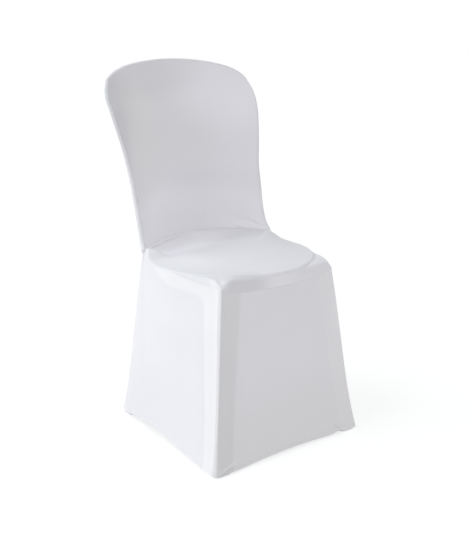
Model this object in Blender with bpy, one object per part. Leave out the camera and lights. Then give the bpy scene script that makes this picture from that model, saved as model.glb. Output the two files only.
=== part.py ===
"""Stretch chair cover: white elastane knit drawn tight over a one-piece bistro chair.

Metres, +Z up, the seat's front towards -Y. The origin is on the floor, in the middle of the
cover's outer box. The chair itself is not modelled, so the cover is a hollow skin.

The cut pieces, each a closed thin solid with a hairline gap at every seam:
  seat         the round seat top with the drop over the seat's front edge
  back_front   the front of the back, from the seat seam up to the rim seam
  back_rear    the rear of the back, which wraps the rim and runs down to the skirt
  skirt        the four-sided tube round the legs, down to its arched hem
  foot_pocket  four small cups inside the hem's corners, which the chair's feet stand in
"""

import math
from collections import namedtuple

import bmesh
import bpy
import numpy as np

MM = 0.001

CLOTH = 1.2 * MM  # the stretched knit, with the bulk that its seams give it
SEAM_GAP = 0.3 * MM  # between the pieces at a seam

SEAT_HEIGHT = 431 * MM
SEAT_RADIUS = 208 * MM
SEAT_CENTRE_Y = 32 * MM  # behind the middle of the four feet
SEAT_EDGE_RADIUS = 8 * MM  # the rolled edge of the round seat
SEAT_FLAT = 0.62  # share of the seat's radius that is one flat face
SEAT_ROLL_STEPS = 3
SIDE_RISE = 0.34  # share of the radius over which the seat's side rises to the notch
BACK_RISE = (0.16, 0.26)  # the same at the seat's back: at the notch, and at the middle
APRON_ROWS = (24 * MM, 15 * MM, 8 * MM, 3.5 * MM, 0.0)  # distances from the lower seam

BACK_COLUMNS = 24
BACK_ROWS = 18
RIM_DEPTH = 13 * MM  # front to rear of the back's rolled rim
RIM_STEPS = 4
BACK_DEPTH = 20 * MM  # front to rear at the middle of the back
TOP_SQUARENESS = 0.33  # share of the top's drop that comes late, at its round corners
SKIRT_ROWS = 8
SKIRT_ROLL_STEPS = 2
HOLLOW_LOW = 2.0  # above 1, the skirt is hollow mostly low down, over its flared feet
SWELL_SHARE = 0.12  # share of the height by which the swell is full
REAR_ROWS = 3

POCKET_WIDTH = 50 * MM  # across the chair
POCKET_DEPTH = 46 * MM  # front to rear
POCKET_HEIGHT = 30 * MM
POCKET_CORNER = 16 * MM
POCKET_CLEARANCE = 1.0 * MM  # between a pocket's wall and the skirt
POCKET_SOLE_ROUND = 4 * MM
POCKET_CORNER_STEPS = 5

# Half of the loop on which the skirt hangs, from the front middle by the right to the rear middle.
# steps: facets to the next station. top: the skirt's upper seam, hem: its lower edge, both x, y, z
# in mm from the middle of the feet. rim: where that station meets the seat's rim, in degrees from
# the front. seat_roll: how far the seat's edge has turned down where its rim ends. shelf: 1 where
# the seat runs out level over the top of a front leg before it turns down. skirt_roll: the turn
# that the skirt's upper edge still makes. swell: how far the skirt comes out just under its seam.
# hollow: how far the skirt draws in lower down. Both in mm, both off the straight line.
FIELDS = "place steps top hem rim seat_roll shelf skirt_roll swell hollow"
Station = namedtuple("Station", FIELDS)
STATIONS = (
    Station("front middle", 3, (0, -170, 396), (0, -208, 7.5), 0, 90, 0, 0, 0, 3.0),
    Station("front quarter", 3, (55, -169, 396.5), (78, -209.5, 6.5), 12, 90, 0, 0, 0, 3.0),
    Station("front leg, inner", 3, (108, -166.5, 398.5), (148, -213.5, 5), 21, 75, 0.45, 0, 0, 4.0),
    Station("front leg, front", 2, (149, -163.2, 406), (192, -214.8, 5.5), 31, 40, 0.85, 0, 0, 4.8),
    Station("front corner", 2, (159.4, -162.4, 411), (211, -212.5, 5.5), 41, 35, 0.5, 0, 0, 5.0),
    Station("front leg, side", 2, (161, -151, 412), (214.2, -193, 5.5), 49, 35, 0.9, 0, 0, 4.8),
    Station("side leg, inner", 3, (170.5, -112, 414), (214, -160, 5), 56, 40, 1, 25, 0, 4.0),
    Station("side quarter", 3, (184.5, -66, 419.5), (211, -95, 7.5), 66, 45, 0, 45, 0, 4.0),
    Station("rim meets", 3, (200.7, -13.3, 428.7), (209.5, -35, 12.5), 77.3, 45, 0, 45, 0, 4.5),
    Station("side middle", 3, (205.7, 32, 428.5), (209, 30, 16), 90, 45, 0, 45, 0, 5.0),
    Station("rim climbs", 3, (201, 76, 432.3), (209.5, 85, 16), 102, 45, 0, 45, 0, 4.5),
    Station("notch", 2, (186, 114, 450), (211, 120, 13.5), 113.5, 45, 0, 40, 6, 3.5),
    Station("rim, outer side", 2, (190.8, 121, 438), (212.2, 140, 12), 0, 0, 0, 0, 2, 3.5),
    Station("rear leg, inner", 2, (181, 133, 429), (213.8, 160, 11), 0, 0, 0, 0, 2, 3.5),
    Station("rear leg, side", 2, (174, 156.5, 418.5), (215, 197, 8), 0, 0, 0, 0, 0, 3.5),
    Station("rear corner", 2, (169.5, 166, 415), (210.2, 214, 7.5), 0, 0, 0, 0, 0, 3.5),
    Station("rear leg, rear", 2, (161, 174.5, 413.5), (194, 218, 7.5), 0, 0, 0, 0, 0, 3.5),
    Station("rear quarter", 4, (110, 197, 410.5), (148, 217, 9), 0, 0, 0, 0, 0, 3.0),
    Station("rear middle", 0, (0, 213.5, 408), (0, 214, 12), 0, 0, 0, 0, 0, 2.0),
)
RIM_STATION = 8  # where the seat's lower seam meets its rim
NOTCH_STATION = 11
SIDE_AND_END = {-1: (5, 3), 1: (14, 16)}  # the stations beside a front and a rear foot

# Sections across the front of the back, bottom to top, in mm. edge_*: the rim seam, half_width out
# from the middle. centre_*: the middle of the section, which is set back because the back is hollow.
Section = namedtuple("Section", "edge_z half_width edge_y centre_z centre_y")
SECTIONS = (
    Section(450, 186.0, 114.0, 459, 190.0),
    Section(475, 181.5, 129.0, 484, 197.5),
    Section(510, 180.6, 140.0, 518, 201.0),
    Section(560, 182.4, 151.0, 567, 204.0),
    Section(620, 185.6, 165.0, 628, 209.5),
    Section(680, 194.0, 176.0, 690, 216.5),
    Section(730, 203.2, 189.5, 743, 225.5),
    Section(770, 209.8, 203.5, 787, 237.0),
    Section(807, 212.0, 223.0, 831, 253.0),
    Section(840, 202.0, 241.0, 885.5, 270.5),
)

PIECES = ("seat", "back_front", "back_rear", "skirt")
CLOTH_COLOUR = (0.90, 0.91, 0.93, 1.0)
POCKET_COLOUR = (0.86, 0.87, 0.89, 1.0)


def curve_through(points, steps, closed=False):
    """Points on a smooth curve through the given ones, with steps[i] parts on stretch i.

    A cubic on each stretch, with knots spaced by the square root of the distance, so that a short
    stretch beside a long one does not swing out.
    """
    p = np.asarray(points, float)
    if closed:
        p = np.vstack([p[-1:], p, p[:2]])
    else:
        p = np.vstack([2 * p[:1] - p[1:2], p, 2 * p[-1:] - p[-2:-1]])
    gap = np.sqrt(np.maximum(np.linalg.norm(np.diff(p, axis=0), axis=1), 1e-9))
    slope = np.diff(p, axis=0) / gap[:, None]
    weight = (gap[:-1] / (gap[:-1] + gap[1:]))[:, None]
    tangent = slope[:-1] * (1 - weight) + slope[1:] * weight
    out = []
    for i, n in enumerate(steps[: len(p) - 3]):
        a, b, span = p[i + 1], p[i + 2], gap[i + 1]
        for t in np.arange(n) / n:
            out.append(
                (1 + 2 * t) * (1 - t) ** 2 * a
                + t * (1 - t) ** 2 * span * tangent[i]
                + t * t * (3 - 2 * t) * b
                - t * t * (1 - t) * span * tangent[i + 1]
            )
    if not closed:
        out.append(p[-2])
    return np.array(out)


def around(value_of):
    """A closed list of one value for each station, the right half and then its mirror image."""
    half = [np.asarray(value_of(s), float) for s in STATIONS]
    mirror = np.array([-1.0, 1.0, 1.0])
    return half + [v * mirror for v in half[-2:0:-1]]


def loop_steps():
    half = [s.steps for s in STATIONS[:-1]]
    return half + half[::-1]


def index_of(station):
    """The loop index at which that station of the right half lies."""
    return sum(s.steps for s in STATIONS[:station])


def skirt_loops():
    """The skirt's upper seam and its hem, as two closed lists of matching points."""
    top = curve_through(around(lambda s: s.top), loop_steps(), closed=True) * MM
    hem = curve_through(around(lambda s: s.hem), loop_steps(), closed=True) * MM
    return top, hem


def station_values(value_of):
    """One number for each loop point, from the front middle round to the front middle again."""
    half = [[value_of(s)] for s in STATIONS]
    right = curve_through(half, [s.steps for s in STATIONS[:-1]])[:, 0]
    return np.concatenate([right, right[-2:0:-1]])


def roll(radius, start, turn):
    """How far out and down a rounded edge goes as it turns on from its start angle."""
    out = radius * (np.sin(start + turn) - np.sin(start))
    down = radius * (np.cos(start) - np.cos(start + turn))
    return out, down


def skirt_grid():
    """Rows from the upper seam to the hem.

    The cloth first turns down over what it hangs on, then runs straight, and draws in between the
    legs.
    """
    top, hem = skirt_loops()
    along = np.roll(hem, -1, 0) - np.roll(hem, 1, 0)
    outward = np.column_stack([along[:, 1], -along[:, 0], np.zeros(len(hem))])
    outward /= np.linalg.norm(outward, axis=1)[:, None]
    hollow = station_values(lambda s: s.hollow) * MM
    swell = station_values(lambda s: s.swell) * MM
    turning = np.radians(np.maximum(station_values(lambda s: s.skirt_roll), 0.0))
    rows = []
    for share in np.linspace(0, 1, SKIRT_ROLL_STEPS + 1):
        out, down = roll(SEAT_EDGE_RADIUS, math.pi / 2 - turning, turning * share)
        down += share * 4 * MM * np.cos(turning) ** 2
        rows.append(top + outward * out[:, None] - np.outer(down, (0, 0, 1)))
    start = rows[-1]
    for v in np.linspace(0, 1, SKIRT_ROWS + 1)[1:]:
        out = swell * (1 - v) * min(v / SWELL_SHARE, 1.0) - hollow * math.sin(math.pi * v**HOLLOW_LOW)
        rows.append(start + (hem - start) * v + outward * out[:, None])
    return np.array(rows)


def section_rows():
    """The sections of the back, one for each row of facets."""
    per_stretch = BACK_ROWS // (len(SECTIONS) - 1)
    return curve_through(SECTIONS, [per_stretch] * (len(SECTIONS) - 1)) * MM


def back_front_grid():
    """Rows from the seat seam to the top, each a shallow arch across the back."""
    s = np.linspace(1, -1, BACK_COLUMNS + 1)
    rows = []
    for edge_z, half_width, edge_y, centre_z, centre_y in section_rows():
        bow = s**2
        late = (1 - TOP_SQUARENESS) * s**2 + TOP_SQUARENESS * s**8
        y = centre_y + (edge_y - centre_y) * bow
        z = centre_z + (edge_z - centre_z) * late
        rows.append(np.column_stack([half_width * s, y, z]))
    return np.array(rows)


def front_normals(front):
    """Unit normals of the front's grid, which point forwards."""
    normals = np.cross(np.gradient(front, axis=0), np.gradient(front, axis=1))
    return normals / np.linalg.norm(normals, axis=2)[:, :, None]


def round_edge(grid):
    """The grid's points up its right edge, over the top and down its left edge."""
    return np.vstack([grid[:, 0], grid[-1, 1:-1], grid[::-1, -1]])


def rim_grid(front):
    """The rolled rim: half rounds that run from the front's edge to the rear panel's edge."""
    edge = round_edge(front)
    normal = round_edge(front_normals(front))
    outward = np.cross(np.gradient(edge, axis=0), normal)
    outward /= np.linalg.norm(outward, axis=1)[:, None]
    rows = []
    for turn in np.linspace(0, math.pi, RIM_STEPS + 1):
        depth = RIM_DEPTH / 2 * (1 - math.cos(turn))
        rise = RIM_DEPTH / 2 * math.sin(turn)
        rows.append(edge - depth * normal + rise * outward)
    return np.array(rows)


def rear_grid(front):
    """The rear face of the back: the front's shape set back, most at the middle below the rim."""
    s = np.linspace(1, -1, BACK_COLUMNS + 1)
    up = np.linspace(0, 1, len(front))[:, None]
    depth = RIM_DEPTH + (BACK_DEPTH - RIM_DEPTH) * (1 - s**2) * (1 - up**6)
    return front - front_normals(front) * depth[:, :, None]


def rear_foot_grid(rear, rim, top):
    """The rear panel below the back, from its lowest section down to the skirt's upper seam."""
    upper = np.vstack([rim[:, 0], rear[0, 1:-1], rim[::-1, -1]])
    first = index_of(NOTCH_STATION)
    lower = top[first : first + len(upper)]
    shares = np.linspace(0, 1, REAR_ROWS + 1)
    return np.array([upper + (lower - upper) * share for share in shares])


def seat_edge(front, top):
    """The end of the seat's top face: points, how far its edge has turned, and share of the back.

    From the front to the notch the edge is the seat's rim, and behind it the seam to the back.
    """
    last, notch = index_of(RIM_STATION), index_of(NOTCH_STATION)
    angle = np.radians(station_values(lambda s: s.rim))[: last + 1]
    turned = np.radians(station_values(lambda s: s.seat_roll))[: notch + 1]
    out, down = roll(SEAT_EDGE_RADIUS, 0.0, turned[: last + 1])
    radius = SEAT_RADIUS - SEAT_EDGE_RADIUS + out
    x = radius * np.sin(angle)
    y = SEAT_CENTRE_Y - radius * np.cos(angle)
    rim = np.column_stack([x, y, SEAT_HEIGHT - down])
    right = np.vstack([rim[:last], top[last : notch + 1]])
    seam = front[0, 1:-1]
    middle = 1 - np.abs(seam[:, 0]) / right[-1, 0]
    mirror = np.array([-1.0, 1.0, 1.0])
    edge = np.vstack([right, seam, (right * mirror)[:0:-1]])
    turned = np.concatenate([turned, 0 * middle, turned[:0:-1]])
    behind = np.concatenate([0 * right[:, 0] - 1, middle, 0 * right[1:, 0] - 1])
    return edge, turned, behind


def seat_grid(front, top):
    """Rings from the flat middle of the seat to its edge, closed all round.

    In front the edge rolls down. At the sides it rises to the notch first. At the back the seat
    rises in a fillet and ends at the seam.
    """
    edge, turned, behind = seat_edge(front, top)
    centre = np.array([0.0, SEAT_CENTRE_Y, SEAT_HEIGHT])
    reach = np.linalg.norm(edge[:, :2] - centre[:2], axis=1)
    _, down = roll(SEAT_EDGE_RADIUS, 0.0, turned)
    height = edge[:, 2] - SEAT_HEIGHT + down
    at_back = behind >= 0
    rise = np.where(at_back, BACK_RISE[0] + (BACK_RISE[1] - BACK_RISE[0]) * behind, SIDE_RISE)
    shares = [SEAT_FLAT, 0.78, 0.90] + [None] * (SEAT_ROLL_STEPS + 1)
    rings = []
    for k, share in enumerate(shares):
        turn = turned * max(k - 3, 0) / SEAT_ROLL_STEPS
        out, down = roll(SEAT_EDGE_RADIUS, turn, turned - turn)
        level = roll(SEAT_EDGE_RADIUS, 0.0, turn)[1]
        rolled = 1 - out / reach if share is None else share
        plain = 0.90 + 0.10 * (k - 2) / (SEAT_ROLL_STEPS + 1) if share is None else share
        ring_share = np.where(at_back, plain, rolled)
        climbed = np.clip((ring_share - 1 + rise) / (rise - 0.04 * ~at_back), 0, 1)
        climbed = np.where(at_back, climbed**2, climbed**2 * (3 - 2 * climbed))
        ring = centre + (edge - centre) * ring_share[:, None]
        ring[:, 2] = SEAT_HEIGHT + height * climbed - level
        rings.append(ring)
    return np.array(rings)


def apron_grid(edge, top):
    """The drop from the seat's rim to the skirt's upper seam, between the two rim stations.

    Each line is a cubic. Over a front leg it leaves the rim level and turns down at the seam, and
    elsewhere it is straight.
    """
    last = index_of(RIM_STATION)
    order = np.arange(-last, last + 1)
    shelf = station_values(lambda s: s.shelf)[order][:, None]
    rim, seam = edge[order], top[order]
    drop = seam - rim
    level = rim + drop * np.array([0.85, 0.85, -0.08])
    corner = seam.copy()
    corner[:, 2] = np.maximum(rim[:, 2] + 2 * MM, seam[:, 2])
    first = (rim + drop / 3) * (1 - shelf) + level * shelf
    second = (rim + drop * 2 / 3) * (1 - shelf) + corner * shelf
    t = np.linspace(0, 1, 65)[:, None, None]
    fine = (1 - t) ** 3 * rim + 3 * t * (1 - t) ** 2 * first
    fine += 3 * t * t * (1 - t) * second + t**3 * seam
    rows = [rim]
    run = np.linalg.norm(np.diff(fine, axis=0), axis=2).cumsum(0)
    run = np.vstack([0 * run[:1], run])
    for back in APRON_ROWS:
        row = rim.copy()
        for j in range(len(order)):
            at = run[-1, j] - back
            if at > 1.5 * MM or back == 0:
                row[j] = [np.interp(at, run[:, j], fine[:, j, axis]) for axis in range(3)]
        rows.append(row)
    return np.array(rows)


def add_grid(mesh, layer, piece, grid, closed=False):
    """Adds a grid of points as faces of one cut piece."""
    rows, columns = grid.shape[:2]
    verts = [[mesh.verts.new(p) for p in row] for row in grid]
    for i in range(rows - 1):
        for j in range(columns if closed else columns - 1):
            k = (j + 1) % columns
            face = mesh.faces.new((verts[i][j], verts[i][k], verts[i + 1][k], verts[i + 1][j]))
            face[layer] = piece
    return verts


def outer_skin():
    """The whole outer face of the cover, welded at its seams, with each face's piece noted."""
    mesh = bmesh.new()
    layer = mesh.faces.layers.int.new("piece")
    top, _ = skirt_loops()
    front = back_front_grid()
    rim = rim_grid(front)
    rear = rear_grid(front)
    seat = seat_grid(front, top)
    inner = add_grid(mesh, layer, 0, seat, closed=True)[0]
    mesh.faces.new(inner)[layer] = 0
    add_grid(mesh, layer, 0, apron_grid(seat[-1], top))
    add_grid(mesh, layer, 1, front)
    add_grid(mesh, layer, 2, rim)
    add_grid(mesh, layer, 2, rear)
    add_grid(mesh, layer, 2, rear_foot_grid(rear, rim, top))
    add_grid(mesh, layer, 3, skirt_grid(), closed=True)
    bmesh.ops.remove_doubles(mesh, verts=mesh.verts, dist=0.01 * MM)
    bmesh.ops.triangulate(mesh, faces=mesh.faces)
    bmesh.ops.recalc_face_normals(mesh, faces=mesh.faces)
    mesh.normal_update()
    mesh.verts.index_update()
    mesh.faces.index_update()
    return mesh, layer


def into_piece(vert, faces):
    """How far a seam vertex moves so that its piece stops half a seam gap short of the seam."""
    ways = []
    for edge in vert.link_edges:
        own = [f for f in edge.link_faces if f in faces]
        if len(own) == 1 and len(edge.link_faces) == 2:
            along = edge.verts[1].co - edge.verts[0].co
            middle = (edge.verts[0].co + edge.verts[1].co) / 2
            inward = own[0].calc_center_median() - middle
            inward -= inward.project(along)
            inward -= inward.project(vert.normal)
            ways.append(np.array(inward.normalized()))
    if len(ways) != 2:
        return np.zeros(3)
    return SEAM_GAP / 2 * (ways[0] + ways[1]) / max(1 + ways[0] @ ways[1], 0.5)


def cloth_shell(name, skin, layer, piece, material, offset):
    """One cut piece: its faces of the skin, a copy one cloth thickness inside, and the edges."""
    faces = {f for f in skin.faces if f[layer] == piece}
    verts = {v for f in faces for v in f.verts}
    shell = bmesh.new()
    outer, inner = {}, {}
    for vert in sorted(verts, key=lambda v: v.index):
        place = np.array(vert.co) + into_piece(vert, faces) + offset
        depth = CLOTH * min(vert.calc_shell_factor(), 1.6)
        outer[vert] = shell.verts.new(place)
        inner[vert] = shell.verts.new(place - depth * np.array(vert.normal))
    for face in sorted(faces, key=lambda f: f.index):
        shell.faces.new([outer[v] for v in face.verts])
        shell.faces.new([inner[v] for v in reversed(face.verts)])
        for loop in face.loops:
            if not any(f in faces for f in loop.edge.link_faces if f is not face):
                a, b = loop.vert, loop.link_loop_next.vert
                turn = -1 if a.index > b.index else 1
                low, high = sorted((a, b), key=lambda v: v.index)
                shell.faces.new([outer[low], inner[high], outer[high]][::turn])
                shell.faces.new([outer[low], inner[low], inner[high]][::turn])
    return finished(name, shell, material)


def finished(name, mesh, material):
    """A smooth-shaded object made from a bmesh."""
    data = bpy.data.meshes.new(name)
    mesh.to_mesh(data)
    mesh.free()
    data.shade_smooth()
    data.set_sharp_from_angle(angle=math.radians(50))
    data.materials.append(material)
    obj = bpy.data.objects.new(name, data)
    bpy.context.collection.objects.link(obj)
    return obj


def pocket_outline(inset):
    """A rounded rectangle in the pocket's own axes, its outer corner at the origin."""
    corner = POCKET_CORNER - inset
    centres = (
        (-POCKET_CORNER, -POCKET_CORNER, 0),
        (-POCKET_WIDTH + POCKET_CORNER, -POCKET_CORNER, 90),
        (-POCKET_WIDTH + POCKET_CORNER, -POCKET_DEPTH + POCKET_CORNER, 180),
        (-POCKET_CORNER, -POCKET_DEPTH + POCKET_CORNER, 270),
    )
    points = []
    for x, y, start in centres:
        for turn in np.linspace(0, 90, POCKET_CORNER_STEPS + 1):
            angle = math.radians(start + turn)
            points.append((x + corner * math.cos(angle), y + corner * math.sin(angle)))
    return np.array(points)


def inside_skirt(grid, station, axis, height):
    """How far out the skirt's outer face is there, along one axis, at that height."""
    line = grid[::-1, index_of(station)]
    return abs(np.interp(height, line[:, 2], line[:, axis])) - CLOTH - POCKET_CLEARANCE


def foot_pocket(name, side, end, material, offset):
    """A cup with a flat sole. Its outer walls lean in with the skirt, a hair inside it."""
    side_face, end_face = SIDE_AND_END[end]
    grid = skirt_grid()
    turns = np.linspace(0, math.pi / 2, 4)
    rings = [(POCKET_SOLE_ROUND * (1 - math.sin(a)), POCKET_SOLE_ROUND * (1 - math.cos(a)), 0.0)
             for a in turns[::-1]]
    rings += [(POCKET_HEIGHT, 0.0, 0.0), (POCKET_HEIGHT, 0.0, CLOTH)]
    rings += [(POCKET_SOLE_ROUND, 0.0, CLOTH), (CLOTH, POCKET_SOLE_ROUND - CLOTH, CLOTH)]
    cup = bmesh.new()
    built = []
    for height, drawn_in, wall in rings:
        points = pocket_outline(drawn_in + wall)
        x = side * (inside_skirt(grid, side_face, 0, height) + points[:, 0])
        y = end * (inside_skirt(grid, end_face, 1, height) + points[:, 1])
        built.append([cup.verts.new(np.array([a, b, height]) + offset) for a, b in zip(x, y)])
    for low, high in zip(built, built[1:]):
        for j in range(len(low)):
            k = (j + 1) % len(low)
            cup.faces.new((low[j], low[k], high[k], high[j]))
    cup.faces.new(built[0][::-1])
    cup.faces.new(built[-1])
    bmesh.ops.recalc_face_normals(cup, faces=cup.faces)
    return finished(name, cup, material)


def knit(name, colour):
    """White stretch knit: matt, not metallic."""
    material = bpy.data.materials.new(name)
    material.use_nodes = True
    shader = material.node_tree.nodes["Principled BSDF"]
    shader.inputs["Base Color"].default_value = colour
    shader.inputs["Roughness"].default_value = 0.8
    shader.inputs["Metallic"].default_value = 0.0
    return material


def main():
    for obj in list(bpy.data.objects):
        bpy.data.objects.remove(obj)
    skin, layer = outer_skin()
    depths = [v.co.y for v in skin.verts]
    offset = np.array([0.0, -(min(depths) + max(depths)) / 2, 0.0])
    cloth = knit("cover_knit", CLOTH_COLOUR)
    doubled = knit("pocket_knit", POCKET_COLOUR)
    for piece, name in enumerate(PIECES):
        cloth_shell(name, skin, layer, piece, cloth, offset)
    skin.free()
    for end, end_name in ((-1, "front"), (1, "rear")):
        for side, side_name in ((-1, "left"), (1, "right")):
            foot_pocket(f"foot_pocket_{end_name}_{side_name}", side, end, doubled, offset)


if __name__ == "__main__":
    main()
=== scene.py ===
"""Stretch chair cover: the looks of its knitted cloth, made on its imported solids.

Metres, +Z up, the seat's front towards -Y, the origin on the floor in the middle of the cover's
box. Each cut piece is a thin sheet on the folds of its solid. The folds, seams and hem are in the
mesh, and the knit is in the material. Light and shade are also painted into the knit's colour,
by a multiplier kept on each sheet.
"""

import math
from collections import namedtuple

import bmesh
import bpy
import numpy as np
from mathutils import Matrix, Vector


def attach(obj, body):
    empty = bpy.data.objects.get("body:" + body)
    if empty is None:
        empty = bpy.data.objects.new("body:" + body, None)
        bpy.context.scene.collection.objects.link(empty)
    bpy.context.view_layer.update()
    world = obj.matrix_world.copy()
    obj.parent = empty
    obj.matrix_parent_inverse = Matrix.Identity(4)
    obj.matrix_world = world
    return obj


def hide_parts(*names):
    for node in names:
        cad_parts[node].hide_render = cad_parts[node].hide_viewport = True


bl_info = {
    "name": "Stretch chair cover",
    "version": (1, 0, 0),
    "blender": (4, 5, 0),
    "location": "View3D > Sidebar > Cover",
    "description": "Makes the knitted pieces of a stretch chair cover on their solids",
    "category": "Object",
}

MM = 0.001
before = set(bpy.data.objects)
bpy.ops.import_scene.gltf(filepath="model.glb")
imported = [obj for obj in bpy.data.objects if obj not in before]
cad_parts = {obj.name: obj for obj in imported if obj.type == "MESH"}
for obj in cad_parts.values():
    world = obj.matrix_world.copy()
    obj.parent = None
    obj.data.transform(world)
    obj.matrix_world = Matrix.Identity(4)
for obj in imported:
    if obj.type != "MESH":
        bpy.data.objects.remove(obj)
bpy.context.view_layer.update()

# The tables below are in mm from the middle of the four feet, which lies this far in front of the
# middle of the cover's box.
FEET_Y = -34.019

FINE = 5  # sheet facets to each facet of the solids, along the seams

SEAT_HEIGHT = 431.0
SEAT_RADIUS = 208.0
SEAT_CENTRE_Y = 32.0
SEAT_EDGE_RADIUS = 8.0  # the rolled edge of the round seat
SIDE_RISE = 0.34  # share of the radius over which the seat's side rises to the notch
BACK_RISE = (0.16, 0.26)  # the same at the seat's back: at the notch, and at the middle
RIM_DEPTH = 13.0  # front to rear of the back's rolled rim
BACK_DEPTH = 20.0  # front to rear at the middle of the back
BACK_COLUMNS = 24
RIM_STEPS = 4
TOP_SQUARENESS = 0.33  # share of the top's drop that comes late, at its round corners
POCKET_WIDTH = 50.0  # across the cover
POCKET_DEPTH = 46.0  # front to rear
POCKET_HEIGHT = 30.0
POCKET_CORNER = 16.0
POCKET_CLEARANCE = 1.7  # from the skirt's outer face to the pocket's
POCKET_SOLE_ROUND = 3.0
HOLLOW_LOW = 2.0  # above 1, the skirt is hollow mostly low down, over its flared feet
SWELL_SHARE = 0.12  # share of the height by which the swell is full
SKIRT_PARTS = ((0, 0.12, 13), (0.12, 0.85, 28), (0.85, 1, 46))  # from, to and rows, down the skirt
SEAM_DROP = 4.0  # how far the skirt drops at its seam where it has no roll
SECTION_ROWS = 14  # rows of the back's sheet between two of its sections
EDGE_CROWDING = 0.28  # how much closer the back's columns stand at its edges
SEAT_FLAT = 0.9  # share of the seat's radius at which its edge begins
BACK_STEP = 0.08  # share of the rest that the first ring of the edge takes at the seat's back
SIDE_LEVEL = 0.04  # share of the radius over which the risen side runs level to its edge
SHELF_PULL = (0.85, 0.85, -0.08)  # where a corner's level shelf ends, as shares of the drop
CORNER_BULGE = 2.0  # how far the cloth stands up over a front corner
WELD = 0.02  # grid points closer than this are one
BATCH = 4000  # points measured at once

# Half of the loop on which the skirt hangs, from the front middle by the right to the rear middle.
# steps: facets to the next station. top: the skirt's upper seam, hem: its lower edge. rim: where
# the station meets the seat's rim, in degrees from the front. seat_roll: how far the seat's edge
# has turned down where its rim ends. shelf: 1 where the seat runs out level before it turns down.
# skirt_roll: the turn that the skirt's upper edge still makes. swell: how far the skirt comes out
# just under its seam. hollow: how far it draws in lower down.
Station = namedtuple("Station", "steps top hem rim seat_roll shelf skirt_roll swell hollow")
STATIONS = (
    Station(3, (0, -170, 396), (0, -208, 7.5), 0, 90, 0, 0, 0, 3.0),
    Station(3, (55, -169, 396.5), (78, -209.5, 6.5), 12, 90, 0, 0, 0, 3.0),
    Station(3, (108, -166.5, 398.5), (148, -213.5, 5), 21, 75, 0.45, 0, 0, 4.0),
    Station(2, (149, -163.2, 406), (192, -214.8, 5.5), 31, 40, 0.85, 0, 0, 4.8),
    Station(2, (159.4, -162.4, 411), (211, -212.5, 5.5), 41, 35, 0.5, 0, 0, 5.0),
    Station(2, (161, -151, 412), (214.2, -193, 5.5), 49, 35, 0.9, 0, 0, 4.8),
    Station(3, (170.5, -112, 414), (214, -160, 5), 56, 40, 1, 25, 0, 4.0),
    Station(3, (184.5, -66, 419.5), (211, -95, 7.5), 66, 45, 0, 45, 0, 4.0),
    Station(3, (200.7, -13.3, 428.7), (209.5, -35, 12.5), 77.3, 45, 0, 45, 0, 4.5),
    Station(3, (205.7, 32, 428.5), (209, 30, 16), 90, 45, 0, 45, 0, 5.0),
    Station(3, (201, 76, 432.3), (209.5, 85, 16), 102, 45, 0, 45, 0, 4.5),
    Station(2, (186, 114, 450), (211, 120, 13.5), 113.5, 45, 0, 40, 6, 3.5),
    Station(2, (190.8, 121, 438), (212.2, 140, 12), 0, 0, 0, 0, 2, 3.5),
    Station(2, (181, 133, 429), (213.8, 160, 11), 0, 0, 0, 0, 2, 3.5),
    Station(2, (174, 156.5, 418.5), (215, 197, 8), 0, 0, 0, 0, 0, 3.5),
    Station(2, (169.5, 166, 415), (210.2, 214, 7.5), 0, 0, 0, 0, 0, 3.5),
    Station(2, (161, 174.5, 413.5), (194, 218, 7.5), 0, 0, 0, 0, 0, 3.5),
    Station(4, (110, 197, 410.5), (148, 217, 9), 0, 0, 0, 0, 0, 3.0),
    Station(0, (0, 213.5, 408), (0, 214, 12), 0, 0, 0, 0, 0, 2.0),
)
RIM_STATION = 8  # where the seat's lower seam meets its rim
NOTCH_STATION = 11
SIDE_AND_END = {-1: (5, 3), 1: (14, 16)}  # the stations beside a front and a rear foot

# Sections across the front of the back, bottom to top: the rim seam, and the middle, set back.
Section = namedtuple("Section", "edge_z half_width edge_y centre_z centre_y")
SECTIONS = (
    Section(450, 186.0, 114.0, 459, 190.0),
    Section(475, 181.5, 129.0, 484, 197.5),
    Section(510, 180.6, 140.0, 518, 201.0),
    Section(560, 182.4, 151.0, 567, 204.0),
    Section(620, 185.6, 165.0, 628, 209.5),
    Section(680, 194.0, 176.0, 690, 216.5),
    Section(730, 203.2, 189.5, 743, 225.5),
    Section(770, 209.8, 203.5, 787, 237.0),
    Section(807, 212.0, 223.0, 831, 253.0),
    Section(840, 202.0, 241.0, 885.5, 270.5),
)

# The one place where the hem is pulled up: where, how wide and how far.
HEM_LIFT = ((154, -213.5, 6.0), 16.0, 5.0)
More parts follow.
